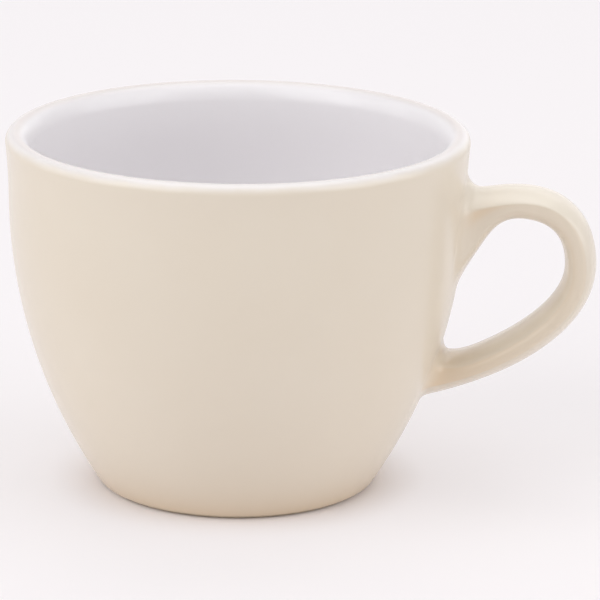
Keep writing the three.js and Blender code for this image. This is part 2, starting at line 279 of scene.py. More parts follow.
def neck_inside(height, depth):
    """Radius of the inside of the neck at a height, a depth under the finished surface."""
    return NECK_CENTRE[0] - np.sqrt((INNER_BEND - depth) ** 2 - (height - SIDE_TOP) ** 2)


def lip_inside(depth):
    """Inner half of the lip, a depth under the finished surface, from its crest down to the neck."""
    turn = np.radians(np.linspace(90, 180, LIP_INSIDE_POINTS))
    crest = CUP_HEIGHT - depth
    height = crest - (INNER_LIP_DROP - depth) * (1 - np.sin(turn))
    lean = (LIP_CENTRE[0] - neck_inside(crest, depth)) * (1 + np.cos(turn))
    return list(zip((neck_inside(height, depth) + lean).tolist(), height.tolist()))


def fuller(points, depth):
    """Points of the inside, brought inwards where the lip is fuller than the wall."""
    radius, height = np.array(points).T
    drop = CUP_HEIGHT - depth - height
    round_lip = np.sqrt(1 - np.clip(1 - drop / (INNER_LIP_DROP - depth), 0, 1) ** 2)
    radius -= LIP_FULLNESS * round_lip * (1 - eased(drop, INNER_LIP_DROP, FULLNESS_DROP))
    return list(zip(radius.tolist(), height.tolist()))


def inside_profile(depth):
    """Inside of the bowl, a depth under the finished surface, from the crest of the lip to the axis."""
    corner = corner_centre()
    turn = math.degrees(math.atan2(corner[1] - SIDE_TOP, corner[0] - SIDE_CENTRE[0]))
    over_neck = CUP_HEIGHT - INNER_LIP_DROP - SIDE_TOP
    neck_turn = math.degrees(math.asin(over_neck / (INNER_BEND - depth)))
    wall = [
        *lip_inside(depth),
        *arc(NECK_CENTRE, INNER_BEND - depth, 180 - neck_turn, 180)[1:],
        *arc(SIDE_CENTRE, SIDE_RADIUS - WALL_THICKNESS + depth, 0, turn)[1:],
    ]
    floor = [*arc(corner, BOWL_CORNER + depth, turn, -90)[1:], (0, FLOOR_HEIGHT - depth)]
    return fuller(wall, depth) + floor


def ring_centres():
    """Centres of the roundings at the outer and the inner edge of the foot ring."""
    radius = SIDE_RADIUS - CLAY_DEPTH - RING_EDGE
    outer = SIDE_CENTRE[0] + math.sqrt(radius**2 - (RING_EDGE - SIDE_TOP) ** 2)
    return (outer, RING_EDGE), (outer - RING_WIDTH, RING_EDGE)


def hollow_profile(depth):
    """Hollow inside the foot ring, a depth under its clay, from the axis out to the ring."""
    inner = ring_centres()[1]
    centre = (inner[0] - RING_EDGE - HOLLOW_CORNER, FOOT_HOLLOW - HOLLOW_CORNER)
    return [(0, FOOT_HOLLOW - depth), *arc(centre, HOLLOW_CORNER - depth, 90, 0, EDGE_STEP)]


def clay_profile():
    """Clay cup: underside, foot ring, outside, lip and inside."""
    outer, inner = ring_centres()
    radius = SIDE_RADIUS - CLAY_DEPTH
    foot_turn = math.degrees(math.atan2(RING_EDGE - SIDE_TOP, outer[0] - SIDE_CENTRE[0]))
    return [
        *hollow_profile(0),
        *arc(inner, RING_EDGE, -180, -90, EDGE_STEP),
        *arc(outer, RING_EDGE, -90, foot_turn, EDGE_STEP),
        *arc(SIDE_CENTRE, radius, foot_turn, 0)[1:],
        *arc(NECK_CENTRE, OUTER_BEND + CLAY_DEPTH, 180, 180 - NECK_TURN)[1:],
        *arc(LIP_CENTRE, LIP_RADIUS - CLAY_DEPTH, -NECK_TURN, 90, EDGE_STEP)[1:],
        *inside_profile(CLAY_DEPTH)[1:],
    ]


def white_profile():
    """White coat: its clay side from the axis up to the lip, then its finished side back down."""
    sides = [
        [*arc(LIP_CENTRE, LIP_RADIUS - depth, LIP_MEETING, 90, EDGE_STEP), *inside_profile(depth)[1:]]
        for depth in (COAT_THICKNESS, 0)
    ]
    return [*sides[0][::-1], *sides[1]]


def base_profile():
    """Coat in the hollow under the base: its finished side, then its clay side back to the axis."""
    return [*hollow_profile(BASE_COAT_DEPTH), *hollow_profile(BASE_COAT_DEPTH - COAT_THICKNESS)[::-1]]


def cream_share(angle):
    """How much cream shows at an angle over the lip, 1 at its outer foot and 0 where all is white."""
    return 1 - eased(angle, ALL_CREAM, ALL_WHITE)


def thin_and_shade_share(angle):
    """How thin the white is at an angle over the lip, with the painted shade that tones down its highlight,
    1 where it is thinnest and 0 past the spread.
    """
    return math.cos(math.pi / 2 * min(1, abs(angle - THINNEST) / THIN_SPREAD)) ** 2


def profile_marks(profile):
    """For every point of a profile: its share of cream, all of it under the base, and of thin white with
    painted shade.
    """
    angles = []
    for radius, height in profile:
        out, up = radius - LIP_CENTRE[0], height - LIP_CENTRE[1]
        over_lip = math.degrees(math.atan2(up, out)) if up > 0 else 180
        angles.append(0 if height < FOOT_HOLLOW else over_lip)
    return {"cream": [float(cream_share(a)) for a in angles], "thin_and_painted_light": [thin_and_shade_share(a) for a in angles]}


# Turning on the axis, by geometry nodes


def node(tree, kind, inputs=None, **settings):
    """A node with its settings made and its inputs set or linked."""
    made = tree.nodes.new(kind)
    for name, value in settings.items():
        setattr(made, name, value)
    for name, value in (inputs or {}).items():
        if isinstance(value, bpy.types.NodeSocket):
            tree.links.new(value, made.inputs[name])
        else:
            made.inputs[name].default_value = value
    return made


def counted(tree, operation, first, second):
    """Two numbers put together."""
    return node(tree, "ShaderNodeMath", {0: first, 1: second}, operation=operation).outputs[0]


def turning_sockets(tree):
    """Names what the turning takes and gives, and returns what it takes."""
    for name, kind in (
        ("Profile", "NodeSocketGeometry"),
        ("Steps Round", "NodeSocketInt"),
        ("Path Radius", "NodeSocketFloat"),
        ("Axis", "NodeSocketVector"),
        ("Sharp Angle", "NodeSocketFloat"),
        ("Finish", "NodeSocketMaterial"),
    ):
        tree.interface.new_socket(name, in_out="INPUT", socket_type=kind)
    tree.interface.new_socket("Piece", in_out="OUTPUT", socket_type="NodeSocketGeometry")
    return tree.nodes.new("NodeGroupInput").outputs


def turning_tree():
    """Tree that turns a drawn profile about an upright axis into a closed, smooth surface."""
    tree = bpy.data.node_groups.new("turned_on_axis", "GeometryNodeTree")
    given = turning_sockets(tree)
    place = node(tree, "ShaderNodeSeparateXYZ", {0: node(tree, "GeometryNodeInputPosition").outputs[0]})
    out = counted(tree, "SUBTRACT", place.outputs["X"], given["Path Radius"])
    down = counted(tree, "MULTIPLY", place.outputs["Z"], -1.0)
    flat = node(tree, "ShaderNodeCombineXYZ", {"X": out, "Y": down})
    drawn = node(tree, "GeometryNodeMeshToCurve", {"Mesh": given["Profile"]})
    laid = node(tree, "GeometryNodeSetPosition", {"Geometry": drawn.outputs[0], "Position": flat.outputs[0]})
    ring = {"Resolution": given["Steps Round"], "Radius": given["Path Radius"]}
    path = node(tree, "GeometryNodeCurvePrimitiveCircle", ring, mode="RADIUS")
    sweep = {"Curve": path.outputs[0], "Profile Curve": laid.outputs[0]}
    swept = node(tree, "GeometryNodeCurveToMesh", sweep)
    merge = {"Geometry": swept.outputs[0], "Distance": MERGE_DISTANCE}
    closed = node(tree, "GeometryNodeMergeByDistance", merge)
    moved = node(tree, "GeometryNodeSetPosition", {"Geometry": closed.outputs[0], "Offset": given["Axis"]})
    bend = node(tree, "GeometryNodeInputMeshEdgeAngle").outputs["Unsigned Angle"]
    gentle = node(tree, "FunctionNodeCompare", {"A": bend, "B": given["Sharp Angle"]}, operation="LESS_THAN")
    faces = {0: moved.outputs[0], "Shade Smooth": True}
    smooth = node(tree, "GeometryNodeSetShadeSmooth", faces, domain="FACE")
    edges = {0: smooth.outputs[0], "Shade Smooth": gentle.outputs[0]}
    edged = node(tree, "GeometryNodeSetShadeSmooth", edges, domain="EDGE")
    real = node(tree, "GeometryNodeRealizeInstances", {"Geometry": edged.outputs[0]})
    dress = {"Geometry": real.outputs[0], "Material": given["Finish"]}
    dressed = node(tree, "GeometryNodeSetMaterial", dress)
    tree.links.new(dressed.outputs[0], tree.nodes.new("NodeGroupOutput").inputs["Piece"])
    return tree


def drawn_profile(name, profile):
    """A profile as an object of points and edges, each point with its marks."""
    mesh = bpy.data.meshes.new(name)
    points = [(radius, 0, height) for radius, height in profile]
    mesh.from_pydata(points, [(i, i + 1) for i in range(len(points) - 1)], [])
    for mark_name, values in profile_marks(profile).items():
        mesh.attributes.new(mark_name, "FLOAT", "POINT").data.foreach_set("value", values)
    piece = bpy.data.objects.new(name, mesh)
    bpy.context.scene.collection.objects.link(piece)
    return piece


def turned(name, profile, tree, finish):
    """A piece turned from its profile on the cup's axis, as a plain mesh."""
    piece = drawn_profile(name, profile)
    lathe = piece.modifiers.new("lathe", "NODES")
    lathe.node_group = tree
    values = {
        "Steps Round": TURN_STEPS,
        "Path Radius": FOOT_RADIUS,
        "Axis": (AXIS_X, 0, 0),
        "Sharp Angle": SHARP_ANGLE,
        "Finish": finish,
    }
    for socket in tree.interface.items_tree:
        if socket.in_out == "INPUT" and socket.name in values:
            lathe[socket.identifier] = values[socket.name]
    evaluated = piece.evaluated_get(bpy.context.evaluated_depsgraph_get())
    mesh = bpy.data.meshes.new_from_object(evaluated)
    piece.modifiers.remove(lathe)
    piece.data = mesh
    return piece


# Cream coat: the wall's outside


def wall_radius(height, depth):
    """Radius of the outside at a height, a depth under the finished surface."""
    rise = height - SIDE_TOP
    side = SIDE_CENTRE[0] + np.sqrt((SIDE_RADIUS - depth) ** 2 - rise**2)
    neck = NECK_CENTRE[0] - np.sqrt((OUTER_BEND + depth) ** 2 - rise**2)
    return np.where(rise < 0, side, neck)


def wall_lean(height):
    """How far the outside leans out from upright at a height, as the sine of the angle."""
    rise = height - SIDE_TOP
    return abs(rise) / np.where(rise < 0, SIDE_RADIUS, OUTER_BEND)


def wall_points(turn, height, depth):
    """Points on the outside of the wall, about the cup's axis."""
    radius = wall_radius(height, depth)
    return np.stack([radius * np.cos(turn), radius * np.sin(turn), height + 0 * radius], axis=-1)


def wall_normal(points):
    """Direction straight out of the wall at points on it."""
    turn = np.arctan2(points[..., 1], points[..., 0])
    lean = wall_lean(points[..., 2])
    level = np.sqrt(1 - lean**2)
    return np.stack([level * np.cos(turn), level * np.sin(turn), -lean], axis=-1)


def side_heights():
    """Heights of the wall's rows, from the rounding of its lower edge to the foot of the lip."""
    top = LIP_CENTRE[1] - LIP_RADIUS * math.sin(math.radians(NECK_TURN))
    return np.linspace(BARE_FOOT + COAT_EDGE, top, SIDE_ROWS + 1)


def lip_angles():
    """Angles of the wall's rows up the outside of the lip, in degrees."""
    return np.linspace(-NECK_TURN, LIP_MEETING, LIP_ROWS + 1)[1:]


def wall_rows(depth):
    """Radius and height of every row of the wall, up from the lower edge, a depth under the surface."""
    bend = np.radians(np.linspace(90, 0, EDGE_ROWS, endpoint=False))
    edge = BARE_FOOT + COAT_EDGE * (1 - np.sin(bend))
    edge_radius = wall_radius(edge, np.maximum(depth, COAT_EDGE * (1 - np.cos(bend))))
    side = side_heights()
    lip = np.radians(lip_angles())
    lip_radius = LIP_CENTRE[0] + (LIP_RADIUS - depth) * np.cos(lip)
    lip_height = LIP_CENTRE[1] + (LIP_RADIUS - depth) * np.sin(lip)
    radius = np.concatenate([edge_radius, wall_radius(side, depth), lip_radius])
    return radius, np.concatenate([edge, side, lip_height])


def wall_grid(depth):
    """The wall's points, row by row."""
    radius, height = wall_rows(depth)
    turn = np.arange(TURN_STEPS) * 2 * math.pi / TURN_STEPS
    across = radius[:, None] * np.cos(turn)
    along = radius[:, None] * np.sin(turn)
    return np.stack([across, along, height[:, None] + 0 * across], axis=-1)


# Cream coat: the handle's strap


def cubic(share, first, second, third, last):
    """Points on a cubic curve at shares of its run."""
    rest = 1 - share
    ends = rest**3 * first + share**3 * last
    return ends + 3 * rest**2 * share * second + 3 * rest * share**2 * third


def strap_line():
    """Points on the strap's centre line, as (distance from the axis, height), and the distances along it."""
    upper_rise, lower_rise = math.radians(UPPER_ARM_RISE), math.radians(LOWER_ARM_RISE)
    upper_end = np.array([wall_radius(UPPER_ROOT_HEIGHT, 0), UPPER_ROOT_HEIGHT])
    lower_end = np.array([wall_radius(LOWER_ROOT_HEIGHT, 0), LOWER_ROOT_HEIGHT])
    outermost = np.array([HANDLE_REACH - STRAP_THICKNESS / 2, UPPER_ROOT_HEIGHT - LOOP_DROP])
    upper_run, lower_run = outermost[0] - upper_end[0], outermost[0] - lower_end[0]
    upper_arm = np.array([math.cos(upper_rise), math.sin(upper_rise)]) * UPPER_ARM_FULLNESS * upper_run
    lower_arm = np.array([math.cos(lower_rise), math.sin(lower_rise)]) * LOWER_ARM_FULLNESS * lower_run
    over = np.array([0, UPPER_LOOP_FULLNESS * LOOP_DROP])
    under = np.array([0, LOWER_LOOP_FULLNESS * (outermost[1] - lower_end[1])])
    share = np.linspace(0, 1, CURVE_POINTS)[:, None]
    upper = cubic(share, upper_end, upper_end + upper_arm, outermost + over, outermost)
    lower = cubic(share, outermost, outermost - under, lower_end + lower_arm, lower_end)
    line = np.concatenate([upper, lower[1:]])
    steps = np.linalg.norm(np.diff(line, axis=0), axis=1)
    return line, np.concatenate([[0], np.cumsum(steps)])


LINE, LINE_DISTANCE = strap_line()
LINE_LENGTH = LINE_DISTANCE[-1]
LINE_HEADING = np.gradient(LINE, LINE_DISTANCE, axis=0)
LOOP_DISTANCE = LINE_DISTANCE[CURVE_POINTS - 1]  # along the line to the outermost point


def along_line(values, distance):
    """Values given at the centre line's points, read at distances along it."""
    return np.stack([np.interp(distance, LINE_DISTANCE, values[:, i]) for i in range(2)], axis=-1)


def unit(vectors):
    """Vectors at length one."""
    return vectors / np.linalg.norm(vectors, axis=-1, keepdims=True)


def up_the_wall(height):
    """Direction up along the outside of the wall at a height, in the handle's plane."""
    lean = wall_lean(height)
    return np.array([lean, math.sqrt(1 - lean**2)])


def flare(distance, length):
    """Share of a flare that is left at distances from the wall, 1 at the wall and 0 past its length."""
    return (1 - np.clip(distance / length, 0, 1)) ** 3


def swell(distance):
    """What the strap's outer face gains at distances along it, most half-way down the lower arm."""
    share = np.clip((distance - LOOP_DISTANCE) / (LINE_LENGTH - LOOP_DISTANCE), 0, 1)
    return LOOP_SWELL * np.sin(math.pi * share) ** 2


def outer_shape(distance):
    """Crown of the strap's outer face and rounding of its edges, at distances along it."""
    loop = eased(distance, *TO_LOOP) * (1 - eased(distance, *FROM_LOOP))
    crown = OUTER_CROWN + (LOOP_CROWN - OUTER_CROWN) * loop
    return crown, OUTER_EDGE + (LOOP_EDGE - OUTER_EDGE) * eased(distance, *EDGE_CHANGE)


def section(angle, half_width, half_height, outer_crown, outer_edge, depth):
    """Points of the strap's section at angles round it: flat sides, crowned faces and rounded edges."""
    across, out = np.cos(angle), np.sin(angle)
    longer = np.maximum(abs(across), abs(out))
    drop = np.where(out > 0, outer_crown, INNER_CROWN) * (half_width / (STRAP_WIDTH / 2)) ** 2
    straight = half_height - drop
    spread = np.sin(math.pi / 2 * across / longer)  # closer together towards the edges
    corner = np.stack([spread * half_width, out / longer * straight], axis=-1)
    edge = np.where(out > 0, outer_edge, INNER_EDGE) - depth
    edge = np.clip(edge, LEAST_EDGE, EDGE_SHARE * straight)
    room = np.stack([half_width - edge, straight - edge], axis=-1)
    core = np.clip(corner, -room, room)
    rounded = core + edge[..., None] * unit(corner - core)
    wide, tall = rounded[..., 0], rounded[..., 1]
    return wide, tall * (1 + drop * (1 - (wide / half_width) ** 2) / straight)


def strap_points(distance, angle, depth):
    """Points of the strap's skin at distances along it and angles round it, a depth under the surface."""
    along = np.clip(distance, 0, LINE_LENGTH)
    heading = unit(along_line(LINE_HEADING, along))
    middle = along_line(LINE, along) + heading * (distance - along)[..., None]
    square = np.stack([-heading[..., 1], heading[..., 0]], axis=-1)
    to_end = LINE_LENGTH - distance
    upper, lower = flare(distance, WEB_LENGTH), flare(to_end, WEB_LENGTH)
    across = square + (up_the_wall(UPPER_ROOT_HEIGHT) - square) * upper[..., None]
    across = unit(across + (-up_the_wall(LOWER_ROOT_HEIGHT) - across) * lower[..., None])
    upper_fillet = ROOT_FILLET * flare(distance, FILLET_LENGTH)
    lower_fillet = ROOT_FILLET * flare(to_end, FILLET_LENGTH)
    half = (STRAP_THICKNESS / 2 - depth) / np.sum(across * square, axis=-1)
    outer = half + upper_fillet + swell(distance)
    inner = half + upper * UPPER_WEB + lower * LOWER_WEB
    half_width = STRAP_WIDTH / 2 - depth + upper_fillet + lower_fillet
    wide, tall = section(angle, half_width, (outer + inner) / 2, *outer_shape(distance), depth)
    place = middle + across * ((outer - inner) / 2 + tall)[..., None]
    return np.stack([place[..., 0], wide, place[..., 1]], axis=-1)


# Cream coat: the handle's roots


def window(middle_height, upwards):
    """Path round the opening in the wall's rows at a root, as rows and columns, begun at the side of +Y.

    It goes round as the strap's section does, which is turned over at the lower root.
    """
    tall, wide = WINDOW_ROWS, WINDOW_COLUMNS
    path = [(row, wide) for row in range(tall)]
    path += [(tall, column) for column in range(wide, -wide, -1)]
    path += [(row, -wide) for row in range(tall, -tall, -1)]
    path += [(-tall, column) for column in range(-wide, wide)]
    path += [(row, wide) for row in range(-tall, 0)]
    steps = np.array(path)
    middle_row = EDGE_ROWS + int(np.argmin(abs(side_heights() - middle_height)))
    return steps * (upwards, 1) + (middle_row, 0)


def section_angles():
    """Angles round the strap's section that go with the points of a window."""
    steps = window(0, 1) - (EDGE_ROWS, 0)
    return np.arctan2(steps[:, 0] / WINDOW_ROWS, steps[:, 1] / WINDOW_COLUMNS)


ANGLES = section_angles()
UPPER_WINDOW = window(UPPER_ROOT_HEIGHT - UPPER_WEB / 2, 1)
LOWER_WINDOW = window(LOWER_ROOT_HEIGHT + LOWER_WEB / 2, -1)


def strap_at(end, out, depth):
    """Points of the strap's skin on every side, at distances out from one of its ends."""
    distance = out if end == "upper" else LINE_LENGTH - out
    return strap_points(distance, ANGLES, depth)


def per_side(wanted, known, values):
    """Reads values on every side's own line, where what is known of the line takes the wanted number."""
    return np.array([np.interp(wanted[i], known[:, i], values[:, i]) for i in range(len(ANGLES))])


def blend_share(end):
    """How much of the run-out each side has: more under the upper arm's web and less under the lower arm."""
    if end == "upper":
        return 1 + WEB_EASE * np.maximum(-np.sin(ANGLES), 0)
    return 1 - CRISP_UNDERSIDE * np.maximum(np.sin(ANGLES), 0) ** 2


def root_distances(end, depth):
    """Distances out from an end where each side meets the wall, and where it leaves the strap for it."""
    out = np.linspace(-WEB_LENGTH, 2 * WEB_LENGTH, CURVE_POINTS)[:, None] + 0 * ANGLES
    lines = strap_at(end, out, depth)
    clearance = np.hypot(lines[..., 0], lines[..., 1]) - wall_radius(lines[..., 2], depth)
    steps = np.linalg.norm(np.diff(lines, axis=0), axis=-1)
    reach = np.concatenate([np.zeros((1, len(ANGLES))), np.cumsum(steps, axis=0)])
    crossing = per_side(np.zeros(len(ANGLES)), clearance, reach)
    leaving = crossing + BLEND_RISE * blend_share(end)
    return per_side(crossing, reach, out), per_side(leaving, reach, out)


def landing_on_wall(corner, share, depth):
    """Where each side lands on the wall: its turn, height and point, and the way that it runs out there."""
    around = np.roll(corner, -1, axis=0) - np.roll(corner, 1, axis=0)
    outwards = unit(np.cross(around, wall_normal(corner)))
    outwards *= np.sign(np.sum(outwards * (corner - corner.mean(axis=0)), axis=-1, keepdims=True))
    target = corner + BLEND_SPREAD * share[:, None] * outwards
    turn, height = np.arctan2(target[:, 1], target[:, 0]), target[:, 2]
    landing = wall_points(turn, height, depth)
    normal = wall_normal(landing)
    outwards = unit(outwards - np.sum(outwards * normal, axis=-1, keepdims=True) * normal)
    return turn, height, landing, outwards


def root(end, depth):
    """Run-out of one root: the distance where each side leaves the strap, the rows of points from the wall
    to there, and the turn and height where each side lands on the wall."""
    meeting, leaving = root_distances(end, depth)
    corner, start = strap_at(end, meeting, depth), strap_at(end, leaving, depth)
    inwards = unit(strap_at(end, leaving - HEADING_STEP, depth) - start)
    turn, height, landing, outwards = landing_on_wall(corner, blend_share(end), depth)
    rise = np.linalg.norm(start - corner, axis=-1, keepdims=True) * BLEND_FULLNESS
    spread = np.linalg.norm(landing - corner, axis=-1, keepdims=True) * BLEND_FULLNESS
    share = np.linspace(0, 1, FILLET_ROWS + 1)[:, None, None]
    rows = cubic(share, landing, landing - outwards * spread, start + inwards * rise, start)
    return leaving, rounded_off(rows), turn, height


def rounded_off(rows):
    """Rows of a root's run-out with the outer face's corners rounded, most half-way to the wall."""
    share = np.sin(math.pi * np.linspace(0, 1, len(rows)))[:, None, None] ** 2
    from_middle = abs(np.degrees(ANGLES) - 90)[:, None]  # of the outer face, whose corners are 45 from it
    from_corner = abs(from_middle - 45)
    share = share * np.exp(-((from_corner / CORNER_SPREAD) ** 2))
    for _ in range(ROUNDING_PASSES):
        between = (np.roll(rows, 1, axis=1) + np.roll(rows, -1, axis=1)) / 2
        rows = rows + share * (between - rows)
    return rows


def run_out(path, turn, height, depth):
    """Rows of points on the wall between a window and the line where the root lands."""
    window_turn = path[:, 1] * 2 * math.pi / TURN_STEPS
    window_height = side_heights()[path[:, 0] - EDGE_ROWS]
    share = np.linspace(0, 1, RUN_OUT_ROWS + 1)[1:-1, None]
    return wall_points(
        window_turn + share * (turn - window_turn),
        window_height + share * (height - window_height),
        depth,
    )


def handle_rows(depth):
    """Rows of points round the handle, from the upper window in the wall to the lower one."""
    upper_leaving, upper_rows, upper_turn, upper_height = root("upper", depth)
    lower_leaving, lower_rows, lower_turn, lower_height = root("lower", depth)
    share = np.linspace(0, 1, STRAP_ROWS + 1)[1:-1, None]
    distance = upper_leaving + share * (LINE_LENGTH - lower_leaving - upper_leaving)
    return np.concatenate([
        run_out(UPPER_WINDOW, upper_turn, upper_height, depth),
        upper_rows,
        strap_points(distance, ANGLES, depth),
        lower_rows[::-1],
        run_out(LOWER_WINDOW, lower_turn, lower_height, depth)[::-1],
    ])


# Cream coat: the skin of wall and handle


def wall_index(row, column):
    """Number of a point of the wall."""
    return row * TURN_STEPS + column % TURN_STEPS


def in_window(row, column, path):
    """Whether a face of the wall, named by its lower corner, lies in a window."""
    signed = (column + TURN_STEPS // 2) % TURN_STEPS - TURN_STEPS // 2
    low, high = path[:, 0].min(), path[:, 0].max()
    return low <= row < high and -WINDOW_COLUMNS <= signed < WINDOW_COLUMNS


def wall_faces():
    """Faces of the wall, left out where the handle joins it."""
    return [
        (
            wall_index(row, column),
            wall_index(row, column + 1),
            wall_index(row + 1, column + 1),
            wall_index(row + 1, column),
        )
        for row in range(WALL_ROWS - 1)
        for column in range(TURN_STEPS)
        if not in_window(row, column, UPPER_WINDOW) and not in_window(row, column, LOWER_WINDOW)
    ]


def handle_faces():
    """Faces of the handle, whose first and last rows are the edges of the wall's windows."""
    sides = len(ANGLES)
    first = WALL_ROWS * TURN_STEPS
    rows = [[wall_index(*step) for step in UPPER_WINDOW]]
    rows += [list(range(first + row * sides, first + (row + 1) * sides)) for row in range(HANDLE_ROWS)]
    rows.append([wall_index(*step) for step in LOWER_WINDOW])
    return [
        (near[i], near[(i + 1) % sides], far[(i + 1) % sides], far[i])
        for near, far in zip(rows, rows[1:])
        for i in range(sides)
    ]


def cream_skin(depth):
    """Points of the coat's skin, a depth under its finished surface, in the cup's frame."""
    points = np.concatenate([wall_grid(depth).reshape(-1, 3), handle_rows(depth).reshape(-1, 3)])
    return points + (AXIS_X, 0, 0)


def edge_faces(row, skin, upwards):
    """Faces between the outer and the inner skin along a row of the wall."""
    faces = []
    for column in range(TURN_STEPS):
        here, there = wall_index(row, column), wall_index(row, column + 1)
        face = (here, there, there + skin, here + skin)
        faces.append(face if upwards else face[::-1])
    return faces


def row_shares():
    """For every row of the handle: its share of the way off the wall, and of the way down the strap."""
    wall, root_rows = np.zeros(RUN_OUT_ROWS - 1), np.zeros(FILLET_ROWS + 1)
    fillet = np.linspace(0, 1, FILLET_ROWS + 1)
    strap = np.arange(1, STRAP_ROWS) / STRAP_ROWS
    off_wall = np.concatenate([wall, fillet, np.ones(len(strap)), fillet[::-1], wall])
    return off_wall, np.concatenate([wall, root_rows, strap, 1 + root_rows, 1 + wall])


def face_shares():
    """For every side of the strap: its share of the outer face, of the inner face and of the corner's
    painted shade.
    """
    out = np.sin(ANGLES)
    from_corner = np.degrees(np.arcsin(out)) - CORNER_ANGLE
    return eased(out, *OUTER_FACE), eased(-out, *INNER_FACE), np.exp(-((from_corner / CORNER_REACH) ** 2))


def handle_marks():
    """For every row of the handle and every side: its share of pooled glaze with painted shade, and of
    painted light.
    """
    off_wall, down = row_shares()
    outer_face, inner_face, corner = face_shares()
    at_root = np.exp(-STRAP_ROWS * (1 - down) / POOL_AND_SHADE_ROWS)
    at_corner = np.exp(-((STRAP_ROWS * down / CORNER_ROWS) ** 2))
    side_pool_and_shade = UPPER_POOL_AND_SHADE + (LOWER_POOL_AND_SHADE - UPPER_POOL_AND_SHADE) * down
    # pooled glaze and painted shade on the strap's sides, deeper down the loop, and at the lower root
    pool_and_shade = np.outer(off_wall * side_pool_and_shade, (1 - outer_face) * (1 - inner_face))
    pool_and_shade += np.outer(off_wall * ROOT_POOL_AND_SHADE * at_root, 1 - outer_face)
    # painted shade in the upper arm's corner with the wall
    pool_and_shade += np.outer(off_wall**2 * CORNER_SHADE * at_corner, corner)
    # painted light on the faces that look up: the upper arm's outer face and the lower arm's inner face
    thin_and_painted_light = np.outer(off_wall * OUTER_PAINTED_LIGHT * np.clip(1 - 2 * down, 0, 1), outer_face)
    thin_and_painted_light += np.outer(off_wall * INNER_PAINTED_LIGHT * down * (1 - at_root), inner_face)
    return pool_and_shade, thin_and_painted_light


def coat_marks():
    """For every point of the skin: its share of cream, of pooled glaze with painted shade, and of painted
    light.
    """
    wall_cream = np.concatenate([np.ones(WALL_ROWS - LIP_ROWS), cream_share(lip_angles())])
    wall_pool = FOOT_POOL * np.exp(-wall_rows(0)[1] / FOOT_POOL_RISE)
    handle_pool_and_shade, handle_painted_light = handle_marks()
    cream = np.concatenate([np.repeat(wall_cream, TURN_STEPS), np.ones(handle_pool_and_shade.size)])
    pool_and_shade = np.concatenate([np.repeat(wall_pool, TURN_STEPS), handle_pool_and_shade.ravel()])
    thin_and_painted_light = np.concatenate([np.zeros(WALL_ROWS * TURN_STEPS), handle_painted_light.ravel()])
    return {"cream": cream, "pool_and_shade": pool_and_shade, "thin_and_painted_light": thin_and_painted_light}


def drop_loose_points(mesh):
    """Takes out the points that no face uses, which are the wall's points inside its windows."""
    shape = bmesh.new()
    shape.from_mesh(mesh)
    loose = [point for point in shape.verts if not point.link_faces]
    bmesh.ops.delete(shape, geom=loose, context="VERTS")
    shape.to_mesh(mesh)
    shape.free()


def cream_coat(finish):
    """The cream glaze as one closed coat over wall and handle."""
    outer, inner = cream_skin(0), cream_skin(COAT_THICKNESS)
    outside = wall_faces() + handle_faces()
    inside = [tuple(i + len(outer) for i in face[::-1]) for face in outside]
    edges = edge_faces(WALL_ROWS - 1, len(outer), True) + edge_faces(0, len(outer), False)
    mesh = bpy.data.meshes.new("cream_coat")
    mesh.from_pydata(np.concatenate([outer, inner]).tolist(), [], outside + inside + edges)
    for name, values in coat_marks().items():
        layer = mesh.attributes.new(name, "FLOAT", "POINT")
        layer.data.foreach_set("value", np.concatenate([values, values]))
    drop_loose_points(mesh)
    mesh.polygons.foreach_set("use_smooth", [True] * len(mesh.polygons))
    mesh.set_sharp_from_angle(angle=SHARP_ANGLE)
    mesh.materials.append(finish)
    piece = bpy.data.objects.new("cream_coat", mesh)
    bpy.context.scene.collection.objects.link(piece)
    return piece


# Finishes


def new_finish(name):
    """A material with its tree, its shader and the place on the piece."""
    material = bpy.data.materials.new(name)
    material.use_nodes = True
    tree = material.node_tree
    place = node(tree, "ShaderNodeTexCoord").outputs["Object"]
    return material, tree, tree.nodes["Principled BSDF"], place


def mark(tree, name):
    """A mark that the piece's points carry."""
    return node(tree, "ShaderNodeAttribute", attribute_name=name).outputs["Fac"]


def mixed(tree, share, first, second):
    """Two colours mixed by a share."""
    mix = node(tree, "ShaderNodeMix", {0: share}, data_type="RGBA")
    for socket, colour in ((mix.inputs[6], first), (mix.inputs[7], second)):
        if isinstance(colour, bpy.types.NodeSocket):
            tree.links.new(colour, socket)
        else:
            socket.default_value = colour
    return mix.outputs[2]


def noise(tree, place, size, detail=2.0):
    """Soft noise whose clouds are about the size given."""
    inputs = {"Vector": place, "Scale": 1 / size, "Detail": detail}
    return node(tree, "ShaderNodeTexNoise", inputs).outputs["Fac"]


def ranged(tree, value, before, after):
    """A value brought from one range into another, and held there."""
    (low, high), (to_low, to_high) = before, after
    inputs = {"Value": value, "From Min": low, "From Max": high, "To Min": to_low, "To Max": to_high}
    return node(tree, "ShaderNodeMapRange", inputs).outputs["Result"]


